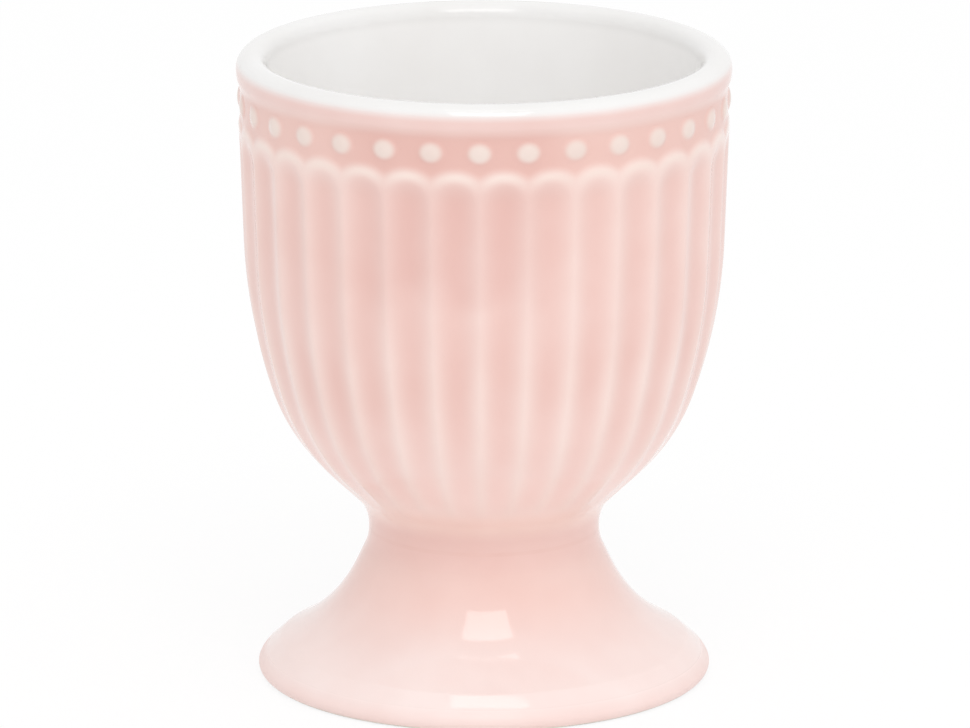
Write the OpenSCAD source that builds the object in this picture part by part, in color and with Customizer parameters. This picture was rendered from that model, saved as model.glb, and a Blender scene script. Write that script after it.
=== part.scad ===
// Footed egg cup of glazed ceramic: a fluted bowl on a flared hollow foot, with a sunk band of beads
// under the lip. Millimetres, +Z up, the origin at the centre of the foot ring, on the table.
// Every section is drawn as [distance from the axis, height] and turned about Z.

/* [Cup] */
// Height from the table to the top of the lip
cup_h = 64.7; // [60:0.1:70]
// Radius of the lip where it is widest
lip_r = 25; // [23:0.1:27]
// Thickness of the bowl's wall with its lining
wall_t = 3.1; // [2.6:0.1:3.8]
// Thickness of the white lining
lining_t = 0.5; // [0.3:0.05:0.7]
// Height of lip that the lining covers outside
lining_drop = 1; // [0.6:0.05:1.4]

/* [Waist] */
// Radius of the waist
waist_r = 11.75; // [9:0.05:13]
// Height of the joint between bowl and foot
waist_z = 15.3; // [13:0.1:18]
// Thickness of the slip in the joint
slip_t = 0.4; // [0.2:0.05:0.8]
// Hollow round where the bowl leaves the waist
bowl_neck_round = 4.5; // [3:0.1:6]
// Hollow round where the foot leaves the waist
foot_neck_round = 4.7; // [3:0.1:6]

/* [Bowl] */
// Thickness of clay under the bowl's floor
floor_t = 4; // [3:0.1:6]
// Round between the floor and the wall inside
floor_round = 7; // [4:0.1:9]

/* [Foot] */
// Radius of the foot where it is widest
foot_r = 23.05; // [21:0.05:26]
// Round on the edge of the foot
edge_round = 1.1; // [0.8:0.05:1.5]
// Thickness of the foot's wall
foot_wall = 2.8; // [2.2:0.1:3.4]
// Width of the ring that stands on the table
ring_w = 2; // [1.4:0.1:2.6]
// Thickness of clay over the hollow of the foot
crown_t = 3.4; // [2.8:0.1:4.2]
// Round at the top of the hollow
crown_round = 2; // [1:0.1:2.2]

/* [Flutes] */
// Number of flutes, and of beads
flutes = 32; // [24:1:36]
// Width of the land left between two flutes
land_w = 0.5; // [0.4:0.05:1]
// Radius of a flute's hollow at the lip
flute_r = 6; // [5:0.1:8]
// Distance from the lip's top to the top of the flutes
flute_top = 7.9; // [7.4:0.1:10]
// Height above the joint where the flutes start
flute_start = 3.6; // [3.4:0.1:5]
// Round in which a flute runs out at its top
flute_end_round = 4; // [2:0.1:6]

/* [Band] */
// Distance from the lip's top to the sunk band
band_top = 2.6; // [2.2:0.1:3]
// Distance from the lip's top to the tops of the scallops
scallop_top = 6.5; // [6:0.1:7]
// Height of each scallop
scallop_rise = 1; // [0.6:0.05:1.2]
// Depth of the sunk band
band_depth = 0.65; // [0.4:0.05:0.9]
// Height of the slope under the lip
band_slope_h = 0.5; // [0.2:0.05:0.8]
// Distance from the lip's top to the middle of the beads
bead_drop = 4.6; // [4.4:0.05:4.8]
// Width of a bead
bead_w = 2.6; // [2:0.1:3]
// Height of a bead over the band
bead_rise = 0.6; // [0.4:0.05:0.8]

/* [Hidden] */
$fn = 96;
blend_fn = 360; // facets of a full circle in the drawn mesh, where an arc blends a corner

// The outline's corners, as shares of the sizes that they follow
belly_r_share = 0.81;      // corner low on the bowl, of the lip's radius
belly_z_share = 0.206;     // and of the height from the joint to the lip
shoulder_r_share = 0.965;  // corner where the wall straightens
shoulder_z_share = 0.462;
belly_run_share = 0.43;    // how much of the side between the two corners each arc takes
shoulder_run_share = 0.53;
flare_r_share = 0.652;     // corner in the hollow of the foot, of the foot's radius
flare_z_share = 0.461;     // and of the height of the joint
flare_run_share = 0.72;    // how much of the side above it the arc takes
hollow_run_share = 0.75;   // and the arc inside the foot, at most
corner_margin_share = 0.3; // how far a corner's cut reaches past the corner, of the arc's run

overcross = 0.002;   // an arc crosses the sides that it blends by this much, and meets them cleanly
overrun = 3;         // cuts run this far past what they cut
arc_steps = 5;       // chords in an arc of a flute's cutter
run_out_share = 0.15; // a flute's cutter runs on out of the wall at the top, by this share of its arc
notch_step = 0.04;   // the floor of the notches stands this far out of the floor of the band
seam_share = 0.3;    // where the seam of the turned wall lies, clear of the corners of flutes and scallops
slice_share = 0.97;  // share of its sector that a flute's cutter fills, clear of the next cutter
notch_share = 0.92;  // share of a scallop's width that the cutter of a notch fills
scallop_flat = 0.03; // the tops of the scallops are this much flatter than their arcs

bowl_base_z = waist_z + slip_t / 2;
foot_top_z = waist_z - slip_t / 2;
bowl_h = cup_h - waist_z;
lip_round = wall_t / 2;
pitch = 360 / flutes;
flute_turn = pitch / 2 - 90;
bead_turn = -90;

// Plane geometry

function unit(v) = v / norm(v);
function heading(v) = atan2(v[1], v[0]);
function ray(a) = [cos(a), sin(a)];
function swing(a, b) = (b - a + 540) % 360 - 180;
function turn(a, v, b) = abs(swing(heading(v - a), heading(b - v)));
function run(a, v, b, r) = r * tan(turn(a, v, b) / 2);
function round_of(a, v, b, run) = run / tan(turn(a, v, b) / 2);
// Centre of the arc of radius r that blends the corner v between a and b
function hub(a, v, b, r) = v + unit(unit(a - v) + unit(b - v)) * norm([r, run(a, v, b, r)]);
// Direction from a circle's centre in which a line from p touches the circle
function touch(centre, r, p, side) = heading(p - centre) + side * acos(r / norm(p - centre));
// The corner v moved square to both its sides by t, to the side that the arc's centre is on
function inset(a, v, b, t) = v + unit(unit(a - v) + unit(b - v)) * t / cos(turn(a, v, b) / 2);
function outset(a, v, b, t) = inset(a, v, b, -t);
// The point at height z on the line through p and q
function at_height(p, q, z) = p + (q - p) * (z - p[1]) / (q[1] - p[1]);
function at_radius(p, q, r) = p + (q - p) * (r - p[0]) / (q[0] - p[0]);
// Points along an arc from angle a to angle b
function arc(centre, r, a, b) =
    [for (i = [0 : arc_steps]) centre + r * ray(a + swing(a, b) * i / arc_steps)];
function blend(a, v, b, r) =
    let (c = hub(a, v, b, r), t = run(a, v, b, r))
    arc(c, r, heading(v + unit(a - v) * t - c), heading(v + unit(b - v) * t - c));

// What lies between the corner v and the arc that blends it: it is added to a hollow corner and
// taken off a full one. It reaches past the corner, and its ends lie inside the arc's circle.
module corner(a, v, b, r) {
    t = run(a, v, b, r);
    far = v - unit(unit(a - v) + unit(b - v)) * t * corner_margin_share;
    end_a = v + unit(a - v) * t;
    end_b = v + unit(b - v) * t;
    difference() {
        polygon([far, end_a + unit(end_a - far) * overcross, end_b + unit(end_b - far) * overcross]);
        translate(hub(a, v, b, r)) circle(r + overcross, $fn = blend_fn);
    }
}

// The bowl's outline

neck_hub = [waist_r + bowl_neck_round, bowl_base_z];
belly = [lip_r * belly_r_share, waist_z + bowl_h * belly_z_share];
shoulder = [lip_r * shoulder_r_share, waist_z + bowl_h * shoulder_z_share];
lip_hub = [lip_r - lip_round, cup_h - lip_round];
neck_touch = touch(neck_hub, bowl_neck_round, belly, 1);
lip_touch = touch(lip_hub, lip_round, shoulder, 1);
neck_end = neck_hub + bowl_neck_round * ray(neck_touch);
wall_end = lip_hub + lip_round * ray(lip_touch);
side_run = norm(shoulder - belly);
belly_round = round_of(neck_end, belly, shoulder, side_run * belly_run_share);
shoulder_round = round_of(belly, shoulder, wall_end, side_run * shoulder_run_share);

// The bowl's outline above the neck, for the cutters of the flutes
wall_points = concat(
    blend(neck_end, belly, shoulder, belly_round),
    blend(belly, shoulder, wall_end, shoulder_round));

module bowl_outline() {
    difference() {
        union() {
            polygon([[0, bowl_base_z], [waist_r, bowl_base_z], [neck_hub[0], bowl_base_z], neck_end,
                belly, shoulder, wall_end, lip_hub, [0, lip_hub[1]]]);
            translate(lip_hub) circle(lip_round);
        }
        translate(neck_hub) circle(bowl_neck_round);
        corner(neck_end, belly, shoulder, belly_round);
        corner(belly, shoulder, wall_end, shoulder_round);
    }
}

// The room inside the bowl, made larger all round by grow: no growth is the room for the egg, and
// growth by the lining's thickness is the room in the clay.
module bowl_room(grow) {
    t = wall_t - grow;
    floor_z = bowl_base_z + floor_t + lining_t - grow;
    low = inset(neck_end, belly, shoulder, t);
    high = inset(belly, shoulder, wall_end, t);
    side = low - (belly - neck_end);
    rim = lip_hub - (lip_round - grow) * ray(lip_touch);
    foot_of_wall = at_height(side, low, floor_z);
    mouth = [rim[0], cup_h + overrun];
    difference() {
        polygon([[0, floor_z], foot_of_wall, low, high, rim, mouth, [0, mouth[1]]]);
        corner([0, floor_z], foot_of_wall, low, floor_round + grow);
        corner(foot_of_wall, low, high, belly_round - t);
        corner(low, high, rim, shoulder_round - t);
        translate(lip_hub) circle(lip_round - grow);
    }
}

// The clay's own region: everything below the line where the lining ends outside, and above it
// only what is covered by the lining.
module clay_region() {
    difference() {
        square([lip_r + overrun, cup_h + overrun]);
        bowl_room(lining_t);
        difference() {
            translate([0, cup_h - lining_drop]) square([lip_r + overrun, lining_drop + overrun]);
            translate(lip_hub) circle(lip_round - lining_t);
        }
    }
}

// The cutter of one flute: a spindle that stands beside the cup. Its waist follows the wall, and is
// so deep in it at every height that the same width of land is left between two flutes.
spindle_x = lip_r + flute_r;
function flute_depth(r) =
    let (half_w = PI * r / flutes - land_w / 2) pow(half_w, 2) / 2 * (1 / r + 1 / (spindle_x - r));
function spindle_r(p) = spindle_x - p[0] + flute_depth(p[0]);

module flute_cutter() {
    low = at_height(neck_end, belly, waist_z + flute_start);
    start = [spindle_r(low), low[1]];
    top_z = cup_h - flute_top;
    top = at_height(shoulder, wall_end, top_z);
    top_depth = flute_depth(top[0]);
    top_run = sqrt(2 * flute_end_round * top_depth - pow(top_depth, 2));
    end_hub = [spindle_x - top[0] + top_depth - flute_end_round, top_z - top_run];
    end = arc(end_hub, flute_end_round, 0, asin(top_run / flute_end_round) * (1 + run_out_share));
    intersection() {
        translate([spindle_x, 0, 0]) rotate_extrude()
            polygon(concat([[0, start[1]], start], [for (p = wall_points) [spindle_r(p), p[1]]],
                end, [[0, end[arc_steps][1]]]));
        rotate([0, 0, -pitch * slice_share / 2])
            rotate_extrude(angle = pitch * slice_share)
                translate([waist_r / 2, start[1] - overrun])
                    square([lip_r + overrun - waist_r / 2, cup_h]);
    }
}

// The band: a sunk ring whose lower edge is a row of scallops, one over each flute. The ring is cut
// down to the tops of the scallops, and a notch under each bead leaves the scallops' arcs.
band_r = lip_r - band_depth;
band_top_z = cup_h - band_top;
scallop_top_z = cup_h - scallop_top;
scallop_w = 2 * lip_r * sin(pitch / 2);
scallop_r = (pow(scallop_w / 2, 2) + pow(scallop_rise, 2)) / (2 * scallop_rise);

module band_ring() {
    rotate_extrude() polygon([
        [band_r, scallop_top_z - scallop_flat],
        [band_r, band_top_z - band_slope_h],
        [band_r + band_depth, band_top_z],
        [lip_r + overrun, band_top_z],
        [lip_r + overrun, scallop_top_z - scallop_flat]]);
}

module notch() {
    low_z = scallop_top_z - scallop_rise - scallop_flat;
    difference() {
        rotate([0, 0, -pitch * notch_share / 2]) rotate_extrude(angle = pitch * notch_share)
            translate([band_r + notch_step, low_z])
                square([band_depth + overrun, scallop_rise + overrun / 2]);
        for (side = [-1, 1]) rotate([0, 0, side * pitch / 2])
            translate([0, 0, scallop_top_z - scallop_r]) rotate([0, 90, 0])
                cylinder(r = scallop_r, h = lip_r + 2 * overrun, $fn = blend_fn);
    }
}

// Pieces

module bowl() color("#efc9c0") {
    difference() {
        rotate(bead_turn + pitch * seam_share) rotate_extrude() intersection() {
            bowl_outline();
            clay_region();
        }
        band_ring();
        for (i = [0 : flutes - 1]) rotate([0, 0, bead_turn + i * pitch]) notch();
        for (i = [0 : flutes - 1]) rotate([0, 0, flute_turn + i * pitch]) flute_cutter();
    }
}

module lining() color("#f5f3f2") {
    rotate_extrude() difference() {
        bowl_outline();
        clay_region();
        bowl_room(0);
    }
}

module beads() color("#f5ddd6") {
    ball_r = (pow(bead_w / 2, 2) + pow(bead_rise, 2)) / (2 * bead_rise);
    difference() {
        for (i = [0 : flutes - 1]) rotate([0, 0, bead_turn + i * pitch])
            translate([band_r + bead_rise - ball_r, 0, cup_h - bead_drop]) sphere(ball_r);
        cylinder(r = band_r, h = cup_h, $fn = blend_fn);
    }
}

module slip_joint() color("#ebbbb1") {
    translate([0, 0, foot_top_z]) cylinder(r = waist_r, h = slip_t);
}

// The foot's outline, with the corner in its flare and the round on its edge
foot_hub = [waist_r + foot_neck_round, foot_top_z];
flare = [foot_r * flare_r_share, waist_z * flare_z_share];
edge_hub = [foot_r - edge_round, edge_round];
foot_neck_touch = touch(foot_hub, foot_neck_round, flare, -1);
edge_touch = touch(edge_hub, edge_round, flare, -1);
foot_neck_end = foot_hub + foot_neck_round * ray(foot_neck_touch);
edge_end = edge_hub + edge_round * ray(edge_touch);
flare_round = round_of(edge_end, flare, foot_neck_end, norm(foot_neck_end - flare) * flare_run_share);

module foot_outline() {
    difference() {
        union() {
            polygon([[0, 0], [edge_hub[0], 0], edge_hub, edge_end, flare, foot_neck_end,
                [foot_hub[0], foot_top_z], [0, foot_top_z]]);
            translate(edge_hub) circle(edge_round);
            corner(edge_end, flare, foot_neck_end, flare_round);
        }
        translate(foot_hub) circle(foot_neck_round);
    }
}

module foot_hollow() {
    hollow_top = foot_top_z - crown_t;
    ring_r = edge_hub[0] - ring_w;
    bend = outset(edge_end, flare, foot_neck_end, foot_wall);
    low = at_radius(bend, bend + edge_end - flare, ring_r);
    high = at_height(bend, bend + foot_neck_end - flare, hollow_top);
    bend_round = min(flare_round + foot_wall, round_of(low, bend, high, norm(high - bend) * hollow_run_share));
    difference() {
        union() {
            polygon([[0, -overrun], [ring_r, -overrun], low, bend, high, [0, hollow_top]]);
            corner(low, bend, high, bend_round);
        }
        corner(bend, high, [0, hollow_top], crown_round);
    }
}

module foot() color("#f3d2ca") {
    rotate_extrude() difference() {
        foot_outline();
        foot_hollow();
    }
}

bowl();
foot();
slip_joint();
lining();
beads();
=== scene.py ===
import math

import bpy
import numpy as np
from mathutils import Matrix, Vector


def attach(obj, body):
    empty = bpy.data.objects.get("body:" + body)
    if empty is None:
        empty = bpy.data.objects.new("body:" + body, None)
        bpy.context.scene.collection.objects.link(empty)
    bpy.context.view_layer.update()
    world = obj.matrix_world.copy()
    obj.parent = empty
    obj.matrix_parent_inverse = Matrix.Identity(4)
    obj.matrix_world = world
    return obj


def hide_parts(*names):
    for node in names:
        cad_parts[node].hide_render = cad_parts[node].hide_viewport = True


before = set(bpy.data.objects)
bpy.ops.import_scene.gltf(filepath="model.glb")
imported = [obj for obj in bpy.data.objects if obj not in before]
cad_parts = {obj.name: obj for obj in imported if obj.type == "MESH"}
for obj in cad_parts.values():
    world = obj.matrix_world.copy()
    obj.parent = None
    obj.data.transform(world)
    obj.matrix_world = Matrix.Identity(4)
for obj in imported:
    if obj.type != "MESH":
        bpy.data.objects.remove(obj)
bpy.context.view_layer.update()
print("frame loaded:", ", ".join(sorted(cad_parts)))

mm = 0.001  # the cup is drawn in millimetres and made at this scale; the studio is in metres

making = {
    "weldGap": 0.0015,  # points nearer than this become one
    "tolerance": 0.01,  # heights this close count as one
    "plainSteps": 256,  # of faces round a piece without flutes
    "crease": 50,       # degrees, edges sharper than this stay sharp
}


def deselectAll():
    if bpy.context.object and bpy.context.object.mode != "OBJECT":
        bpy.ops.object.mode_set(mode="OBJECT")
    bpy.ops.object.select_all(action="DESELECT")


def makeActive(obj):
    deselectAll()
    obj.select_set(True)
    bpy.context.view_layer.objects.active = obj


def spinProfile(name, points, steps):
    # a corner of a new plane is drawn out along the profile, then spun once round the cup's axis
    deselectAll()
    bpy.ops.mesh.primitive_plane_add(size=mm, location=(0, 0, 0))
    obj = bpy.context.object
    obj.name = name
    obj.data.name = name
    bpy.ops.object.mode_set(mode="EDIT")
    bpy.ops.mesh.select_all(action="SELECT")
    bpy.ops.mesh.merge(type="CENTER")
    bpy.ops.transform.translate(value=(points[0][0] * mm, 0, points[0][1] * mm))
    for before, after in zip(points, points[1:]):
        step = ((after[0] - before[0]) * mm, 0, (after[1] - before[1]) * mm)
        bpy.ops.mesh.extrude_region_move(TRANSFORM_OT_translate={"value": step})
    bpy.ops.mesh.select_all(action="SELECT")
    bpy.ops.mesh.spin(steps=steps, angle=2 * math.pi, center=(0, 0, 0), axis=(0, 0, 1))
    bpy.ops.mesh.select_all(action="SELECT")
    bpy.ops.mesh.remove_doubles(threshold=making["weldGap"] * mm)
    bpy.ops.mesh.normals_make_consistent(inside=False)
    bpy.ops.object.mode_set(mode="OBJECT")
    return obj


def smoothShade(obj, angle):
    makeActive(obj)
    bpy.ops.object.shade_smooth_by_angle(angle=math.radians(angle))


def readPoints(obj):
    flat = np.empty(len(obj.data.vertices) * 3)
    obj.data.vertices.foreach_get("co", flat)
    return flat.reshape(-1, 3) / mm


def writePoints(obj, points):
    obj.data.vertices.foreach_set("co", (points * mm).ravel())
    obj.data.update()


def writeAttribute(obj, name, values):
    layer = obj.data.attributes.new(name, "FLOAT", "POINT")
    layer.data.foreach_set("value", np.asarray(values, np.float32))


# outlines are drawn as [distance from the axis, height]
def unit(v):
    return v / np.linalg.norm(v)


def ray(angle):
    return np.array([math.cos(angle), math.sin(angle)])


def heading(v):
    return math.atan2(v[1], v[0])


def arcLine(hub, radius, start, end, steps):
    sweep = (end - start + math.pi) % (2 * math.pi) - math.pi
    return [hub + radius * ray(start + sweep * i / steps) for i in range(steps + 1)]


def turnAt(a, corner, b):
    return math.pi - math.acos(float(np.clip(unit(a - corner) @ unit(b - corner), -1, 1)))


def roundFor(a, corner, b, run):
    # the radius whose round starts this far from the corner
    return run / math.tan(turnAt(a, corner, b) / 2)


def blendLine(a, corner, b, radius, steps):
    turn = turnAt(a, corner, b)
    run = radius * math.tan(turn / 2)
    hub = corner + unit(unit(a - corner) + unit(b - corner)) * math.hypot(radius, run)
    return arcLine(hub, radius, heading(corner + unit(a - corner) * run - hub),
                   heading(corner + unit(b - corner) * run - hub), steps)


def touchAngle(hub, radius, point):
    # where the line from the point touches the circle
    away = point - hub
    return heading(away) + math.acos(radius / np.linalg.norm(away))


def insetCorner(a, corner, b, t):
    # the same corner on a line that runs at the distance t inside
    return corner + unit(unit(a - corner) + unit(b - corner)) * t / math.cos(turnAt(a, corner, b) / 2)


def alongTo(p, q, height):
    # the point at this height on the line through p and q
    return p + (q - p) * (height - p[1]) / (q[1] - p[1])


def easeStep(x):
    x = np.clip(x, 0, 1)
    return x * x * (3 - 2 * x)


def softAbove(x, blur):
    # x where it is above zero, and nearly zero below, with a soft bend between
    return 0.5 * (x + np.sqrt(x * x + blur * blur))


bowl = {
    "height": 64.7,
    "lipRadius": 25.0,
    "lipRound": 1.55,
    "waistRadius": 11.75,
    "seamTop": 15.5,                    # the bowl starts here, above the seam at the waist
    "neckRound": 4.5,
    "belly": (20.25, 25.476),           # a corner of the outline, with a wide round
    "bellyShare": 0.43,                 # which takes this share of the side up to the shoulder
    "shoulder": (24.125, 38.123),       # and the same for the next corner
    "shoulderShare": 0.53,
    "wall": 3.1,
    "floor": 20.0,                      # inside, on top of the lining
    "floorRound": 7.0,
    "floorRings": 4,                    # of faces on the flat of the floor
    "skin": 0.4,                        # what lies this near to the outline is the outside
    "columns": 22,                      # of faces across one flute
    "crease": 55,
    "arcSteps": (24, 40, 40, 10),       # of the drawn outline, from the neck to the lip
    "neckRows": 9,                      # rows of faces, from the waist up
    "wallRows": ((19.0, 54.6, 0.9),     # from one height to another, and the step
                 (54.8, 57.5, 0.22),
                 (57.55, 58.9, 0.085),  # closest at the scallops
                 (58.95, 61.1, 0.3),
                 (61.2, 62.6, 0.14)),
    "lipRows": 6,
    "clayRows": (3, 4),                 # over the lip, under the white glaze
    "insideRows": 5,                    # on each bend inside, under the white glaze
}

lining = {
    "thick": 0.5,
    "end": 63.7,        # outside, the white glaze ends at this height
    "insideRows": 16,   # on each bend inside
    "lipRows": (9, 8),  # on both sides of the lip's top
}

flute = {
    "count": 32,
    "frontBead": -90.0,   # degrees
    "land": 0.5,          # the width that two hollows leave between them
    "hollowRadius": 6.0,  # across a hollow, at the lip; it is larger where the wall draws in
    "start": 18.4,        # the hollows begin at this height
    "startRun": 2.4,
    "tintLead": 0.6,      # the colour of the hollows begins this far below their shape
    "tintRun": 6.0,       # and comes in more slowly
    "top": 56.8,
    "endRun": 2.3,        # the hollow's upper end is rounded over this height
    "ridgeBlur": 0.35,    # glaze rounds the ridges
}

band = {
    "depth": 0.38,
    "scallopTop": 58.15,
    "scallopRise": 1.15,
    "fillFrom": 0.9,     # of half a scallop: from here glaze fills the point where two of them meet
    "fillBlur": 0.42,
    "edgeRun": 1.15,     # a scallop's edge takes this height to reach the band
    "paleBelow": 0.62,   # the glaze is thinnest this far below the scallops' edge, where a painted highlight lies too
    "paleWidth": 0.5,
    "paleDim": 0.85,     # it fades towards the points, and grows wider there
    "paleGrow": 0.7,
    "lipLine": 61.1,     # the lip starts to swell out here
    "lipRun": 1.5,
    "followFrom": -3.4,  # from the scallops' top: rows of faces begin to follow the arcs here
    "followRun": 2.2,
    "followEnd": 0.9,    # and leave them from here on
    "followFade": 1.5,
}

bead = {
    "height": 59.98,
    "radius": 1.3,
    "wide": 1.09,      # the glaze leaves it a little wider than tall
    "tall": 0.95,
    "rise": 0.3,
    "skirt": 1.75,     # out to here the glaze flows into the band
    "skirtDrop": 0.02,
    "blur": 0.22,
    "root": 0.25,      # its hidden underside is this deep
    "rootShare": 0.6,  # and this share of the skirt wide
    "sink": 0.008,     # all of it is set this deep into the band
    "rings": 14,       # of faces from its middle to the skirt
    "steps": 28,
    "crease": 60,
}

neckHub = np.array([bowl["waistRadius"] + bowl["neckRound"], bowl["seamTop"]])
belly = np.array(bowl["belly"])
shoulder = np.array(bowl["shoulder"])
lipHub = np.array([bowl["lipRadius"] - bowl["lipRound"], bowl["height"] - bowl["lipRound"]])
neckTouch = touchAngle(neckHub, bowl["neckRound"], belly)
neckEnd = neckHub + bowl["neckRound"] * ray(neckTouch)
lipTouch = touchAngle(lipHub, bowl["lipRound"], shoulder)
wallEnd = lipHub + bowl["lipRound"] * ray(lipTouch)
sideRun = np.linalg.norm(shoulder - belly)
bellyRound = roundFor(neckEnd, belly, shoulder, sideRun * bowl["bellyShare"])
shoulderRound = roundFor(belly, shoulder, wallEnd, sideRun * bowl["shoulderShare"])
liningAngle = math.asin((lining["end"] - lipHub[1]) / bowl["lipRound"])

neckSteps, bellySteps, shoulderSteps, lipSteps = bowl["arcSteps"]
outerLine = np.array(
    arcLine(neckHub, bowl["neckRound"], math.pi, neckTouch, neckSteps)
    + blendLine(neckEnd, belly, shoulder, bellyRound, bellySteps)
    + blendLine(belly, shoulder, wallEnd, shoulderRound, shoulderSteps)
    + arcLine(lipHub, bowl["lipRound"], lipTouch, liningAngle, lipSteps))


def wallRadius(height):
    return np.interp(height, outerLine[:, 1], outerLine[:, 0])


def innerLine(grow, bendRows):
    # from the axis over the floor and up the wall to the lip's round; grow takes it into the clay
    t = bowl["wall"] - grow
    floor = bowl["floor"] - grow
    low = insetCorner(neckEnd, belly, shoulder, t)
    high = insetCorner(belly, shoulder, wallEnd, t)
    side = low - (belly - neckEnd)
    rim = lipHub - (bowl["lipRound"] - grow) * ray(lipTouch)
    corner = alongTo(side, low, floor)
    centre = np.array([0.0, floor])
    floorArc = blendLine(centre, corner, low, bowl["floorRound"] + grow, bendRows)
    rings = bowl["floorRings"]
    flat = [centre + (floorArc[0] - centre) * i / rings for i in range(rings)]
    return (flat + floorArc + blendLine(corner, low, high, bellyRound - t, bendRows)
            + blendLine(low, high, rim, shoulderRound - t, bendRows)
            + [rim])


def clayLip():
    # the clay's round over the lip, from where the white glaze ends outside
    clayRound = bowl["lipRound"] - lining["thick"]
    start = math.asin((lining["end"] - lipHub[1]) / clayRound)
    outsideRows, insideRows = bowl["clayRows"]
    return (arcLine(lipHub, clayRound, start, math.pi / 2, outsideRows)[:-1]
            + arcLine(lipHub, clayRound, math.pi / 2, math.pi + lipTouch, insideRows)[:-1])


pitch = 2 * math.pi / flute["count"]
scallopHalf = bowl["lipRadius"] * math.sin(pitch / 2)
scallopRadius = (scallopHalf ** 2 + band["scallopRise"] ** 2) / (2 * band["scallopRise"])
bandRadius = bowl["lipRadius"] - band["depth"]


def fluteDepth(radius):
    half = math.pi * radius / flute["count"] - flute["land"] / 2
    return half ** 2 / 2 * (1 / radius + 1 / (bowl["lipRadius"] + flute["hollowRadius"] - radius))


def angleFromBead(angle):
    return (angle - math.radians(flute["frontBead"]) + pitch / 2) % pitch - pitch / 2


def scallopDrop(angle):
    fromFlute = pitch / 2 - np.abs(angleFromBead(angle))
    across = bowl["lipRadius"] * np.sin(fromFlute)
    filled = band["fillFrom"] * scallopHalf
    across = filled - softAbove(filled - across, band["fillBlur"])
    return scallopRadius - np.sqrt(scallopRadius ** 2 - across ** 2)


def pressRelief(points):
    # gives the points in relief, and each one's share of a flute, of the band and of a scallop's edge
    angle = np.arctan2(points[:, 1], points[:, 0])
    radius = np.hypot(points[:, 0], points[:, 1])
    height = points[:, 2].copy()
    outside = (radius > wallRadius(height) - bowl["skin"]) & (height > bowl["seamTop"] - making["tolerance"])
    drop = scallopDrop(angle)
    # rows near the scallops follow their arcs
    rel = height - band["scallopTop"]
    follow = easeStep((rel - band["followFrom"]) / band["followRun"])
    follow = follow * (1 - easeStep((rel - band["followEnd"]) / band["followFade"]))
    height = np.where(outside, height - drop * follow, height)
    plain = wallRadius(height)
    arch = band["scallopTop"] - drop
    sunk = easeStep((height - arch) / band["edgeRun"] + 0.5)
    sunk = sunk * (1 - easeStep((height - band["lipLine"]) / band["lipRun"]))
    # hollow of the flute, in its own width and with a round end
    across = plain * (pitch / 2 - np.abs(angleFromBead(angle)))
    half = math.pi * plain / flute["count"] - flute["land"] / 2
    upper = np.clip(height - (flute["top"] - flute["endRun"]), 0, None) / flute["endRun"]
    q = (across / half) ** 2 + upper ** 2
    hollow = softAbove(1 - q, flute["ridgeBlur"]) / softAbove(1, flute["ridgeBlur"])
    hollow = hollow * easeStep((height - flute["start"]) / flute["startRun"])
    pressed = plain - fluteDepth(plain) * hollow
    pressed = pressed + (bandRadius - pressed) * sunk
    radius = np.where(outside, pressed, radius)
    moved = np.stack([radius * np.cos(angle), radius * np.sin(angle), height], axis=1)
    tint = hollow * easeStep((height - flute["start"] + flute["tintLead"]) / flute["tintRun"])
    # a pale line along each scallop's edge: thin glaze with a painted highlight
    wide = band["paleWidth"] * (1 + band["paleGrow"] * drop)
    edge = np.exp(-((height - arch + band["paleBelow"]) / wide) ** 2) * (1 - band["paleDim"] * drop)
    return moved, [np.where(outside, share, 0) for share in (tint, sunk, edge)]


def makeBowl():
    rows = arcLine(neckHub, bowl["neckRound"], math.pi, neckTouch, bowl["neckRows"])
    for start, end, step in bowl["wallRows"]:
        rows += [np.array([wallRadius(h), h]) for h in np.arange(start, end, step)]
    rows += arcLine(lipHub, bowl["lipRound"], lipTouch, liningAngle, bowl["lipRows"])
    inner = innerLine(lining["thick"], bowl["insideRows"])
    profile = [np.array([0.0, bowl["seamTop"]])] + rows + clayLip() + inner[::-1]
    obj = spinProfile("bowlFluted", profile, flute["count"] * bowl["columns"])
    points, shares = pressRelief(readPoints(obj))
    writePoints(obj, points)
    for name, share in zip(("fluteHollow", "bandSunk", "scallopEdge"), shares):
        writeAttribute(obj, name, share)
    smoothShade(obj, bowl["crease"])
    return obj


def makeBeads():
    radii = [bead["skirt"] * i / bead["rings"] for i in range(bead["rings"] + 1)]
    top = softAbove(1.0, bead["blur"])
    profile = [np.array([r, bead["rise"] * softAbove(1 - (r / bead["radius"]) ** 2, bead["blur"]) / top])
               for r in radii]
    profile += [np.array([bead["skirt"], -bead["skirtDrop"]]),
                np.array([bead["rootShare"] * bead["skirt"], -bead["root"]]),
                np.array([0.0, -bead["root"]])]
    first = spinProfile("beadRing", profile, bead["steps"])
    points = readPoints(first)
    points *= (bead["wide"], bead["tall"], 1)
    rise = np.clip(points[:, 2] / bead["rise"], 0, 1)
    # laid on the band: local x runs round the cup, y up it, z outwards
    out = points[:, 2] - bead["sink"] - points[:, 0] ** 2 / (2 * bandRadius)
    writePoints(first, np.stack([bandRadius + out, points[:, 0], points[:, 1] + bead["height"]], axis=1))
    writeAttribute(first, "beadRise", rise)
    smoothShade(first, bead["crease"])
    ring = [first]
    for i in range(1, flute["count"]):
        copy = first.copy()
        copy.data = first.data.copy()
        bpy.context.collection.objects.link(copy)
        ring.append(copy)
    for i, obj in enumerate(ring):
        obj.data.transform(Matrix.Rotation(math.radians(flute["frontBead"]) + i * pitch, 4, "Z"))
    makeActive(first)
    for obj in ring:
        obj.select_set(True)
    bpy.ops.object.join()
    return first


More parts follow.
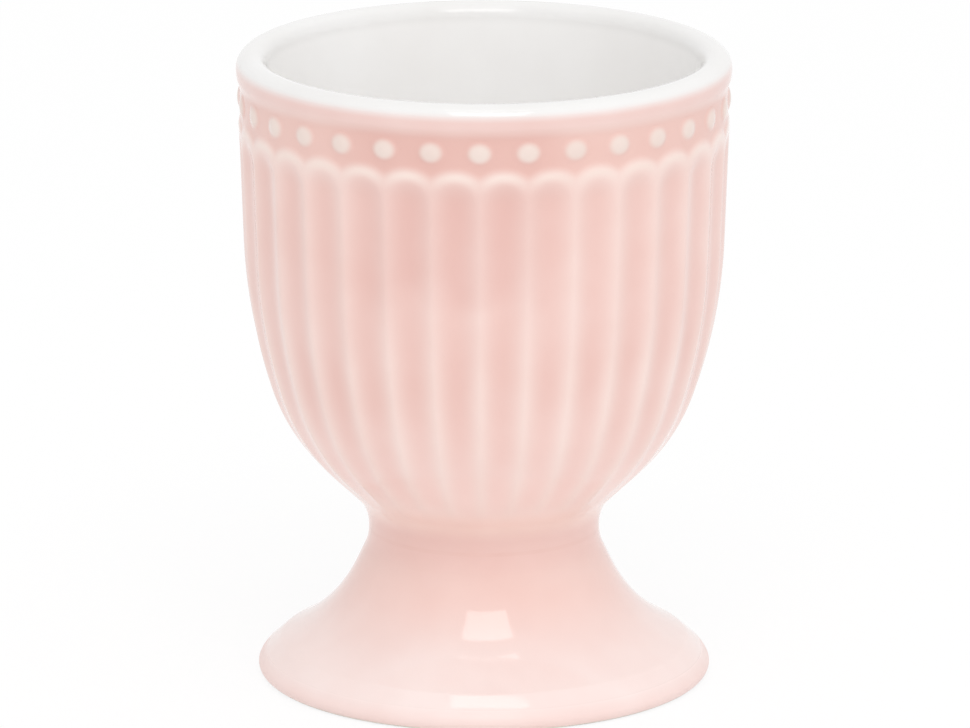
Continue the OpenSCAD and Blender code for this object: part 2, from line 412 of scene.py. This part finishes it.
def makeLining():
    inner = innerLine(0, lining["insideRows"])
    back = innerLine(lining["thick"], bowl["insideRows"])
    risingRows, fallingRows = lining["lipRows"]
    over = arcLine(lipHub, bowl["lipRound"], math.pi + lipTouch, math.pi / 2, risingRows)[1:]
    over += arcLine(lipHub, bowl["lipRound"], math.pi / 2, liningAngle, fallingRows)[1:]
    obj = spinProfile("liningWhite", inner + over + clayLip() + back[::-1], making["plainSteps"])
    smoothShade(obj, making["crease"])
    return obj


seam = {
    "bottom": 15.1,
    "dip": 0.005,  # its side is hollow by this much
}


def makeSeam():
    low, high = seam["bottom"], bowl["seamTop"]
    radius = bowl["waistRadius"]
    middle = (radius - seam["dip"], (low + high) / 2)
    profile = [(0.0, low), (radius, low), middle, (radius, high), (0.0, high)]
    obj = spinProfile("waistSeam", profile, making["plainSteps"])
    smoothShade(obj, making["crease"])
    return obj


foot = {
    "radius": 23.05,
    "neckRound": 4.7,
    "neckEnd": (12.194, 13.106),
    "flare": (15.35, 6.37),
    "flareShare": 0.72,            # of the neck's side that the flare's round takes
    "hip": (20.8, 3.42),           # the flank turns down here, towards the edge
    "hipRound": 2.0,
    "hipEnd": (21.9, 2.46),
    "edge": 0.9,                   # height of the widest place, and the round below it
    "wall": 2.8,
    "innerBend": (15.029, 7.053),  # the inside is drawn from a line that bends here
    "innerSlope": 0.6692,          # and falls at this slope, a wall's thickness away
    "ringRadius": 19.95,
    "ringRound": 0.25,             # outside, where the flank turns under to the ring
    "ringTurn": (0.25, -0.9),      # radians: the edge's round stops this short of down, the ring's starts here
    "ringFlat": 0.5,               # the ring is flat this far from its inner side
    "ringInner": 0.35,             # the round of that side
    "ringInnerTurn": -0.83 * math.pi,
    "crown": 3.4,                  # the hollow's top lies this far under the seam
    "crownRound": 2.0,
    "crownRings": (6.0, 3.0),      # of faces on the crown
    "bendShare": 0.75,             # of the hollow's upper side that its round takes
    "bareHeight": 0.28,            # below this the ring is bare clay
    "neckRows": 14,                # rows of faces, from the waist down and then inside up
    "flankRows": 34,
    "hipRows": 6,
    "edgeRows": 14,
    "underRows": 12,
    "ringRows": (4, 5),
    "bendRows": 20,
    "crownRows": 10,
}


def makeFoot():
    hub = np.array([bowl["waistRadius"] + foot["neckRound"], seam["bottom"]])
    neckPoint = np.array(foot["neckEnd"])
    flare = np.array(foot["flare"])
    hip = np.array(foot["hip"])
    hipEnd = np.array(foot["hipEnd"])
    flareRound = roundFor(hip, flare, neckPoint, np.linalg.norm(neckPoint - flare) * foot["flareShare"])
    flank = blendLine(neckPoint, flare, hip, flareRound, foot["flankRows"])
    flank += blendLine(flank[-1], hip, hipEnd, foot["hipRound"], foot["hipRows"])
    # the edge curves down from the hip to the widest place
    drop = (hipEnd - hip)[1] / (hipEnd - hip)[0]
    pull = np.array([foot["radius"], hipEnd[1] + drop * (foot["radius"] - hipEnd[0])])
    widest = np.array([foot["radius"], foot["edge"]])
    for i in range(foot["edgeRows"] + 1):
        t = i / foot["edgeRows"]
        flank.append((1 - t) ** 2 * hipEnd + 2 * t * (1 - t) * pull + t * t * widest)
    edgeHub = np.array([foot["radius"] - foot["edge"], foot["edge"]])
    # inside, the wall follows the flank at its own thickness
    flat = unit(np.array([1.0, -foot["innerSlope"]]))
    inner = np.array(foot["innerBend"])
    hollowTop = seam["bottom"] - foot["crown"]
    bend = insetCorner(inner + flat, inner, neckPoint, -foot["wall"])
    low = bend + flat * (foot["ringRadius"] - bend[0]) / flat[0]
    high = alongTo(bend, bend + neckPoint - inner, hollowTop)
    bendRound = min(flareRound + foot["wall"],
                    roundFor(low, bend, high, np.linalg.norm(high - bend) * foot["bendShare"]))
    # the ring that it stands on has a small round on each side
    down = -math.pi / 2
    stopBefore, startAt = foot["ringTurn"]
    outerRows, innerRows = foot["ringRows"]
    outerRound, innerRound = foot["ringRound"], foot["ringInner"]
    outerHub = edgeHub + np.array([-outerRound, -foot["edge"] + outerRound])
    innerHub = np.array([foot["ringRadius"] + innerRound, innerRound])
    crownEnd = np.array([0.0, hollowTop])
    profile = [np.array([0.0, seam["bottom"]])]
    profile += arcLine(hub, foot["neckRound"], math.pi, heading(neckPoint - hub), foot["neckRows"])
    profile += flank
    profile += arcLine(edgeHub, foot["edge"], 0, down + stopBefore, foot["underRows"])[1:]
    profile += arcLine(outerHub, outerRound, startAt, down, outerRows)
    profile += [np.array([foot["ringRadius"] + foot["ringFlat"], 0.0])]
    profile += arcLine(innerHub, innerRound, down, foot["ringInnerTurn"], innerRows)
    profile += blendLine(low, bend, high, bendRound, foot["bendRows"])
    profile += blendLine(bend, high, crownEnd, foot["crownRound"], foot["crownRows"])
    profile += [np.array([radius, hollowTop]) for radius in foot["crownRings"]] + [crownEnd]
    obj = spinProfile("footFlared", profile, making["plainSteps"])
    smoothShade(obj, making["crease"])
    return obj


def hexColour(text):
    # an sRGB colour, turned to linear, with full alpha
    parts = [int(text[i:i + 2], 16) / 255 for i in (1, 3, 5)]
    return tuple(p / 12.92 if p <= 0.04045 else ((p + 0.055) / 1.055) ** 2.4 for p in parts) + (1.0,)


def addNode(tree, kind, settings=None, inputs=None):
    node = tree.nodes.new(kind)
    for key, value in (settings or {}).items():
        setattr(node, key, value)
    for key, value in (inputs or {}).items():
        if isinstance(value, bpy.types.NodeSocket):
            tree.links.new(value, node.inputs[key])
        else:
            node.inputs[key].default_value = value
    return node


def startMaterial(name):
    mat = bpy.data.materials.new(name)
    mat.use_nodes = True
    tree = mat.node_tree
    tree.nodes.clear()
    return mat, tree


def heightShare(tree, run):
    # 0 at the first height of the run and 1 at the second, in millimetres
    place = addNode(tree, "ShaderNodeTexCoord")
    split = addNode(tree, "ShaderNodeSeparateXYZ", inputs={0: place.outputs["Object"]})
    return addNode(tree, "ShaderNodeMapRange", {"interpolation_type": "SMOOTHSTEP"},
                   {"Value": split.outputs["Z"], 1: run[0] * mm, 2: run[1] * mm}).outputs[0]


glazeFinish = {
    "roughness": 0.08,
    "wipedRoughness": 0.4,
    "ior": 1.5,
    "specular": 0.5,
    "cloudSize": 9.0,        # mm
    "cloudDetail": 2.0,
    "cloudRun": (0.3, 0.7),  # of the noise
    "cloudDepth": 0.6,
    "rippleSize": 3.5,       # mm
    "rippleDetail": 1.0,
    "rippleHeight": 0.02,    # mm
    "rippleStrength": 0.3,
}


def fireGlaze(tree, colour, cloud, roughness=glazeFinish["roughness"]):
    # every glaze here is a gloss glaze, dipped or poured, and fired at about 1220 degrees: it melts level,
    # so its colour is a little cloudy, its surface is mirror-smooth and it has a slow ripple where it ran
    place = addNode(tree, "ShaderNodeTexCoord")
    drift = addNode(tree, "ShaderNodeTexNoise", inputs={
        "Vector": place.outputs["Object"], "Scale": 1 / (glazeFinish["cloudSize"] * mm),
        "Detail": glazeFinish["cloudDetail"]})
    clear, full = glazeFinish["cloudRun"]
    cloudy = addNode(tree, "ShaderNodeMapRange", inputs={
        "Value": drift.outputs["Fac"], 1: clear, 2: full, 3: 0.0, 4: glazeFinish["cloudDepth"]})
    tinted = addNode(tree, "ShaderNodeMix", {"data_type": "RGBA", "blend_type": "MULTIPLY"}, {
        0: cloudy.outputs[0], 6: colour, 7: hexColour(cloud)})
    ripple = addNode(tree, "ShaderNodeTexNoise", inputs={
        "Vector": place.outputs["Object"], "Scale": 1 / (glazeFinish["rippleSize"] * mm),
        "Detail": glazeFinish["rippleDetail"]})
    bump = addNode(tree, "ShaderNodeBump", inputs={
        "Strength": glazeFinish["rippleStrength"], "Distance": glazeFinish["rippleHeight"] * mm,
        "Height": ripple.outputs["Fac"]})
    surface = addNode(tree, "ShaderNodeBsdfPrincipled", inputs={
        "Base Color": tinted.outputs[2], "Roughness": roughness, "IOR": glazeFinish["ior"],
        "Specular IOR Level": glazeFinish["specular"], "Normal": bump.outputs["Normal"]})
    addNode(tree, "ShaderNodeOutputMaterial", inputs={"Surface": surface.outputs[0]})


pinkGlaze = {
    "thin": "#F0D6CF",                  # over the ridges, where the glaze runs off
    "thinLow": "#F3DDD6",               # and nearer to the waist
    "thinRun": (36.0, 42.0),            # mm, the heights between which one turns into the other
    "thick": "#EAC6BE",                 # in the hollows, where it stays
    "low": "#F4D6CF",                   # and nearer to the waist
    "lowRun": (20.0, 36.0),
    "pooled": "#E9C4BB",                # in the sunk band
    "thinnestAndHighlight": "#F2E0D8",              # on the scallops' edges: thin glaze and a painted highlight
    "beadTop": "#EADAD2",
    "beadRun": (0.05, 0.85),            # of a bead's height
    "lip": "#EBCEC8",
    "lipRun": (61.4, 62.9),
    "neck": "#F6DAD1",                  # painted light: paler on the bowl just above the seam, lifting the shade where it turns down
    "neckRun": (21.0, 18.6),
    "waist": "#F0CCC4",                 # gathered over the seam, and painted shade and reflection at the waist
    "waistBelow": (12.2, 14.8),
    "waistAbove": (16.4, 18.3),
    "waistStreak": "#EDC7BE",
    "streakSize": 2.5,                  # mm
    "streakDetail": 1.0,
    "footNeck": "#EFCFC7",
    "footLow": "#F3E3DF",
    "footRun": (12.0, 3.0),
    "edge": "#F1DBD6",                  # round the foot's lower edge
    "edgeRun": (2.4, 1.0),
    "wipedRun": (2.4, 1.9),
    "cloud": "#F9F0EE",
    "frontShade": "#F8F0EF",                  # painted shade: darker on the side that faces the front
    "shadedSide": (-0.12, -0.993, 0.0),  # the way this side faces
    "frontShadeRun": (0.84, 0.955),           # of the lip's radius, towards that side
    "frontShadeLine": 41.0,                   # mm, the painted shade ends about here
    "frontShadeWave": (5.0, 6.0),             # mm, along that line and up
    "frontShadeWaveDetail": 1.0,
    "frontShadeBlur": (-2.0, 3.0),            # mm, below and above it
}

whiteGlaze = {
    "inside": "#FBFAF9",
    "cloud": "#F9F8F7",
    "rim": "#ECEBEA",          # the white is thinner over the rim
    "rimRun": (62.4, 64.2),    # mm
    "fadeRun": (63.0, 64.15),  # mm, outside, here the pink runs out into the white
    "outside": (22.6, 23.6),   # mm from the axis
}


def fadeToWhite(tree, colour):
    share = heightShare(tree, whiteGlaze["fadeRun"])
    return addNode(tree, "ShaderNodeMix", {"data_type": "RGBA"}, {
        0: share, 6: colour, 7: hexColour(whiteGlaze["rim"])}).outputs[2]


def poolAndShadeAtWaist(tree, colour):
    # glaze runs down the bowl and gathers over the seam; the darker band is also painted shade and reflection
    # at the waist
    gap = addNode(tree, "ShaderNodeMath", {"operation": "SUBTRACT", "use_clamp": True}, {
        0: heightShare(tree, pinkGlaze["waistBelow"]), 1: heightShare(tree, pinkGlaze["waistAbove"])})
    return addNode(tree, "ShaderNodeMix", {"data_type": "RGBA"}, {
        0: gap.outputs[0], 6: colour, 7: hexColour(pinkGlaze["waist"])}).outputs[2]


def paintedFrontShade(tree, colour):
    # painted shade: one side is darkened, down to a soft and uneven line
    place = addNode(tree, "ShaderNodeTexCoord")
    toSide = addNode(tree, "ShaderNodeVectorMath", {"operation": "DOT_PRODUCT"},
                     {0: place.outputs["Object"], 1: pinkGlaze["shadedSide"]})
    none, full = (share * bowl["lipRadius"] * mm for share in pinkGlaze["frontShadeRun"])
    sideShare = addNode(tree, "ShaderNodeMapRange", {"interpolation_type": "SMOOTHSTEP"}, {
        "Value": toSide.outputs["Value"], 1: none, 2: full})
    along, up = (size * mm for size in pinkGlaze["frontShadeWave"])
    ragged = addNode(tree, "ShaderNodeTexNoise", inputs={
        "Vector": place.outputs["Object"], "Scale": 1 / along, "Detail": pinkGlaze["frontShadeWaveDetail"]})
    line = addNode(tree, "ShaderNodeMath", {"operation": "MULTIPLY_ADD"}, {
        0: ragged.outputs["Fac"], 1: up, 2: pinkGlaze["frontShadeLine"] * mm})
    split = addNode(tree, "ShaderNodeSeparateXYZ", inputs={0: place.outputs["Object"]})
    above = addNode(tree, "ShaderNodeMath", {"operation": "SUBTRACT"}, {
        0: split.outputs["Z"], 1: line.outputs[0]})
    below, over = (blur * mm for blur in pinkGlaze["frontShadeBlur"])
    frontShade = addNode(tree, "ShaderNodeMapRange", {"interpolation_type": "SMOOTHSTEP"}, {
        "Value": above.outputs[0], 1: below, 2: over})
    frontShadeShare = addNode(tree, "ShaderNodeMath", {"operation": "MULTIPLY"}, {
        0: frontShade.outputs[0], 1: sideShare.outputs[0]})
    return addNode(tree, "ShaderNodeMix", {"data_type": "RGBA", "blend_type": "MULTIPLY"}, {
        0: frontShadeShare.outputs[0], 6: colour, 7: hexColour(pinkGlaze["frontShade"])}).outputs[2]


def bowlGlaze():
    # pink glaze over cast white stoneware: pale where it is thin on the ridges and the scallops' edges, with a
    # painted highlight on these edges, and deeper where it pools in the flutes and the sunk band
    mat, tree = startMaterial("pinkGlazeOnFlutedStoneware")
    hollow = addNode(tree, "ShaderNodeAttribute", {"attribute_name": "fluteHollow"})
    deep = addNode(tree, "ShaderNodeMix", {"data_type": "RGBA"}, {
        0: heightShare(tree, pinkGlaze["lowRun"]), 6: hexColour(pinkGlaze["low"]),
        7: hexColour(pinkGlaze["thick"])})
    ridge = addNode(tree, "ShaderNodeMix", {"data_type": "RGBA"}, {
        0: heightShare(tree, pinkGlaze["thinRun"]), 6: hexColour(pinkGlaze["thinLow"]),
        7: hexColour(pinkGlaze["thin"])})
    wall = addNode(tree, "ShaderNodeMix", {"data_type": "RGBA"}, {
        0: hollow.outputs["Fac"], 6: ridge.outputs[2], 7: deep.outputs[2]})
    sunk = addNode(tree, "ShaderNodeAttribute", {"attribute_name": "bandSunk"})
    banded = addNode(tree, "ShaderNodeMix", {"data_type": "RGBA"}, {
        0: sunk.outputs["Fac"], 6: wall.outputs[2], 7: hexColour(pinkGlaze["pooled"])})
    edge = addNode(tree, "ShaderNodeAttribute", {"attribute_name": "scallopEdge"})
    # painted shade on the front side is multiplied into the wall and the band
    edged = addNode(tree, "ShaderNodeMix", {"data_type": "RGBA"}, {
        0: edge.outputs["Fac"], 6: paintedFrontShade(tree, banded.outputs[2]), 7: hexColour(pinkGlaze["thinnestAndHighlight"])})
    lipped = addNode(tree, "ShaderNodeMix", {"data_type": "RGBA"}, {
        0: heightShare(tree, pinkGlaze["lipRun"]), 6: edged.outputs[2], 7: hexColour(pinkGlaze["lip"])})
    # painted light on the bowl just above the seam
    necked = addNode(tree, "ShaderNodeMix", {"data_type": "RGBA"}, {
        0: heightShare(tree, pinkGlaze["neckRun"]), 6: lipped.outputs[2], 7: hexColour(pinkGlaze["neck"])})
    fireGlaze(tree, fadeToWhite(tree, poolAndShadeAtWaist(tree, necked.outputs[2])), pinkGlaze["cloud"])
    return mat


def beadGlaze():
    # the same pink glaze on raised beads: it runs off their tops, so they show nearly white
    mat, tree = startMaterial("pinkGlazeOnBeads")
    rise = addNode(tree, "ShaderNodeAttribute", {"attribute_name": "beadRise"})
    none, full = pinkGlaze["beadRun"]
    spread = addNode(tree, "ShaderNodeMapRange", {"interpolation_type": "SMOOTHSTEP"}, {
        "Value": rise.outputs["Fac"], 1: none, 2: full})
    # the beads' lower part takes the painted shade on the front side too
    colour = addNode(tree, "ShaderNodeMix", {"data_type": "RGBA"}, {
        0: spread.outputs[0], 6: paintedFrontShade(tree, hexColour(pinkGlaze["pooled"])),
        7: hexColour(pinkGlaze["beadTop"])})
    fireGlaze(tree, colour.outputs[2], pinkGlaze["cloud"])
    return mat


def footGlaze():
    # the same pink glaze on a plain flared foot: it thins out towards the lower edge, where it drained
    mat, tree = startMaterial("pinkGlazeOnFoot")
    colour = addNode(tree, "ShaderNodeMix", {"data_type": "RGBA"}, {
        0: heightShare(tree, pinkGlaze["footRun"]), 6: hexColour(pinkGlaze["footNeck"]),
        7: hexColour(pinkGlaze["footLow"])})
    # round the lower edge it is wiped thin, and less glossy
    wiped = addNode(tree, "ShaderNodeMapRange", inputs={
        "Value": heightShare(tree, pinkGlaze["wipedRun"]), 3: glazeFinish["roughness"],
        4: glazeFinish["wipedRoughness"]})
    low = addNode(tree, "ShaderNodeMix", {"data_type": "RGBA"}, {
        0: heightShare(tree, pinkGlaze["edgeRun"]), 6: colour.outputs[2], 7: hexColour(pinkGlaze["edge"])})
    fireGlaze(tree, poolAndShadeAtWaist(tree, low.outputs[2]), pinkGlaze["cloud"], wiped.outputs[0])
    return mat


def seamGlaze():
    # the same pink glaze where it has gathered over the slip joint, darkened also as painted shade, with
    # darker streaks as it ran down
    mat, tree = startMaterial("pooledAndShadedPinkGlaze")
    place = addNode(tree, "ShaderNodeTexCoord")
    streak = addNode(tree, "ShaderNodeTexNoise", inputs={
        "Vector": place.outputs["Object"], "Scale": 1 / (pinkGlaze["streakSize"] * mm),
        "Detail": pinkGlaze["streakDetail"]})
    colour = addNode(tree, "ShaderNodeMix", {"data_type": "RGBA"}, {
        0: streak.outputs["Fac"], 6: hexColour(pinkGlaze["waist"]), 7: hexColour(pinkGlaze["waistStreak"])})
    fireGlaze(tree, colour.outputs[2], pinkGlaze["cloud"])
    return mat


def liningGlaze():
    # opaque white tin glaze poured into the bowl: clean white, and tinged with pink where it meets the
    # outside below the lip
    mat, tree = startMaterial("whiteGlazeInside")
    faded = fadeToWhite(tree, hexColour(pinkGlaze["lip"]))
    place = addNode(tree, "ShaderNodeTexCoord")
    flat = addNode(tree, "ShaderNodeVectorMath", {"operation": "MULTIPLY"},
                   {0: place.outputs["Object"], 1: (1, 1, 0)})
    reach = addNode(tree, "ShaderNodeVectorMath", {"operation": "LENGTH"}, {0: flat.outputs[0]})
    none, full = (radius * mm for radius in whiteGlaze["outside"])
    outside = addNode(tree, "ShaderNodeMapRange", {"interpolation_type": "SMOOTHSTEP"},
                      {"Value": reach.outputs["Value"], 1: none, 2: full})
    over = addNode(tree, "ShaderNodeMix", {"data_type": "RGBA"}, {
        0: heightShare(tree, whiteGlaze["rimRun"]), 6: hexColour(whiteGlaze["inside"]),
        7: hexColour(whiteGlaze["rim"])})
    colour = addNode(tree, "ShaderNodeMix", {"data_type": "RGBA"}, {
        0: outside.outputs[0], 6: over.outputs[2], 7: faded})
    fireGlaze(tree, colour.outputs[2], whiteGlaze["cloud"])
    return mat


clayFinish = {
    "pale": "#F1EAE2",
    "dark": "#DDD3C8",
    "gritSize": 0.35,    # mm
    "gritDetail": 3.0,
    "gritHeight": 0.03,  # mm
    "gritStrength": 0.5,
    "roughness": 0.85,
    "ior": 1.45,
}


def bareClay():
    # white stoneware, wiped free of glaze and ground flat where it stands: dry, pale and a little gritty
    mat, tree = startMaterial("bareStonewareRing")
    place = addNode(tree, "ShaderNodeTexCoord")
    grit = addNode(tree, "ShaderNodeTexNoise", inputs={
        "Vector": place.outputs["Object"], "Scale": 1 / (clayFinish["gritSize"] * mm),
        "Detail": clayFinish["gritDetail"]})
    colour = addNode(tree, "ShaderNodeMix", {"data_type": "RGBA"}, {
        0: grit.outputs["Fac"], 6: hexColour(clayFinish["pale"]), 7: hexColour(clayFinish["dark"])})
    bump = addNode(tree, "ShaderNodeBump", inputs={
        "Strength": clayFinish["gritStrength"], "Distance": clayFinish["gritHeight"] * mm,
        "Height": grit.outputs["Fac"]})
    surface = addNode(tree, "ShaderNodeBsdfPrincipled", inputs={
        "Base Color": colour.outputs[2], "Roughness": clayFinish["roughness"], "IOR": clayFinish["ior"],
        "Normal": bump.outputs["Normal"]})
    addNode(tree, "ShaderNodeOutputMaterial", inputs={"Surface": surface.outputs[0]})
    return mat


bowlObj = makeBowl()
print("bowl:", len(bowlObj.data.polygons), "faces")
beadsObj = makeBeads()
print("beads:", len(beadsObj.data.polygons), "faces")
liningObj = makeLining()
seamObj = makeSeam()
footObj = makeFoot()
print("lining, seam and foot:", [len(o.data.polygons) for o in (liningObj, seamObj, footObj)])

for obj, mat, node, slot in (
        (bowlObj, bowlGlaze(), "bowl", "pink_glaze"),
        (beadsObj, beadGlaze(), "beads", "bead_glaze"),
        (liningObj, liningGlaze(), "lining", "white_glaze"),
        (seamObj, seamGlaze(), "slip_joint", "seam_glaze"),
        (footObj, footGlaze(), "foot", "foot_glaze")):
    obj.data.materials.clear()
    obj.data.materials.append(mat)
    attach(obj, "root")
    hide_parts(node)

footObj.data.materials.append(bareClay())
for face in footObj.data.polygons:
    low = all(footObj.data.vertices[v].co.z < foot["bareHeight"] * mm for v in face.vertices)
    face.material_index = 1 if low else 0
print("pieces dressed")


studio = {
    "white": "#FFFFFF",
    "paper": "#FCFCFC",
    "floorSize": 6.0,
    "floorDrop": 0.02,                      # mm, so that the foot ring doesn't lie in the paper's own face
    "paperGlow": 0.85,                      # the floor's share of plain white, the rest takes the shadow
    "air": 0.725,                           # the room's light, from all round
    "fills": (((0.46, -0.80, 0.39), 0.35),  # the room is a little brighter this way, in front and above
              ((-0.2, 0.98, 0.0), 0.2)),    # and a little behind
    "frontBox": {"place": (0.057, -0.70, 0.98), "size": (0.60, 0.46), "power": 2.6},
    "topBox": {"place": (0.043, -0.21, 1.18), "size": (0.50, 0.092), "power": 0.37},
    "boxAim": 0.02,                         # both lamps are tilted towards this height
    "target": 32.115,                       # mm, the height that the camera looks at
    "aside": 0.1016,                        # mm, and how far from the cup's axis
    "distance": 909.36,                     # mm
    "elevation": 14.882,                    # degrees
    "azimuth": 1.0,                         # degrees from the front, towards +X
    "lens": 332.27,
    "sensor": 36,
    "clipStart": 0.05,
}


def whereWhiteShows(tree):
    # white for the eye, and for what the glaze mirrors, without more light on the cup
    rays = addNode(tree, "ShaderNodeLightPath")
    seen = addNode(tree, "ShaderNodeMath", {"operation": "ADD"},
                   {0: rays.outputs["Is Camera Ray"], 1: rays.outputs["Is Glossy Ray"]})
    return addNode(tree, "ShaderNodeMath", {"operation": "ADD", "use_clamp": True},
                   {0: seen.outputs[0], 1: rays.outputs["Is Transmission Ray"]}).outputs[0]


def makeFloor():
    deselectAll()
    bpy.ops.mesh.primitive_plane_add(size=studio["floorSize"], location=(0, 0, -studio["floorDrop"] * mm))
    floor = bpy.context.object
    floor.name = "studioFloor"
    # matt white paper: it throws soft light back up, and it shows a faint shadow under the cup
    mat, tree = startMaterial("mattPaperFloor")
    share = addNode(tree, "ShaderNodeMath", {"operation": "MULTIPLY"},
                    {0: whereWhiteShows(tree), 1: studio["paperGlow"]})
    paper = addNode(tree, "ShaderNodeBsdfDiffuse", inputs={"Color": hexColour(studio["paper"])})
    glow = addNode(tree, "ShaderNodeEmission", inputs={"Color": hexColour(studio["white"]), "Strength": 1.0})
    both = addNode(tree, "ShaderNodeMixShader", inputs={
        0: share.outputs[0], 1: paper.outputs[0], 2: glow.outputs[0]})
    addNode(tree, "ShaderNodeOutputMaterial", inputs={"Surface": both.outputs[0]})
    floor.data.materials.append(mat)


def makeWorld():
    world = bpy.data.worlds.new("studioAir")
    bpy.context.scene.world = world
    world.use_nodes = True
    tree = world.node_tree
    tree.nodes.clear()
    place = addNode(tree, "ShaderNodeTexCoord")
    light = studio["air"]
    for side, more in studio["fills"]:
        facing = addNode(tree, "ShaderNodeVectorMath", {"operation": "DOT_PRODUCT"},
                         {0: place.outputs["Generated"], 1: side})
        extra = addNode(tree, "ShaderNodeMapRange", inputs={
            "Value": facing.outputs["Value"], 1: 0.0, 2: 1.0, 3: 0.0, 4: more})
        light = addNode(tree, "ShaderNodeMath", {"operation": "ADD"},
                        {0: extra.outputs[0], 1: light}).outputs[0]
    level = addNode(tree, "ShaderNodeMix", {"data_type": "FLOAT"},
                    {0: whereWhiteShows(tree), 2: light, 3: 1.0})
    back = addNode(tree, "ShaderNodeBackground", inputs={
        "Color": hexColour(studio["white"]), "Strength": level.outputs[0]})
    addNode(tree, "ShaderNodeOutputWorld", inputs={"Surface": back.outputs[0]})


def addSoftbox(name, box):
    deselectAll()
    bpy.ops.object.light_add(type="AREA", location=box["place"])
    lamp = bpy.context.object
    lamp.name = name
    lamp.data.shape = "RECTANGLE"
    lamp.data.size, lamp.data.size_y = box["size"]
    lamp.data.energy = box["power"]
    # it is tilted towards the cup, with its long side level
    front, up = box["place"][1:]
    lamp.rotation_euler = Vector((0, -front, studio["boxAim"] - up)).to_track_quat("-Z", "Y").to_euler()


def placeCamera():
    turn, lift = math.radians(studio["azimuth"]), math.radians(studio["elevation"])
    away = studio["distance"] * mm
    target = Vector((math.cos(turn), math.sin(turn), 0)) * studio["aside"] * mm
    target.z = studio["target"] * mm
    place = target + away * Vector((math.sin(turn) * math.cos(lift), -math.cos(turn) * math.cos(lift),
                                    math.sin(lift)))
    bpy.ops.object.camera_add(location=place)
    camera = bpy.context.object
    camera.name = "tableCamera"
    camera.rotation_euler = (target - place).to_track_quat("-Z", "Y").to_euler()
    camera.data.sensor_width = studio["sensor"]
    camera.data.lens = studio["lens"]
    camera.data.clip_start = studio["clipStart"]
    bpy.context.scene.camera = camera


makeFloor()
makeWorld()
addSoftbox("frontSoftbox", studio["frontBox"])
addSoftbox("topSoftbox", studio["topBox"])
placeCamera()
bpy.context.scene.view_settings.view_transform = "Standard"
print("studio ready")
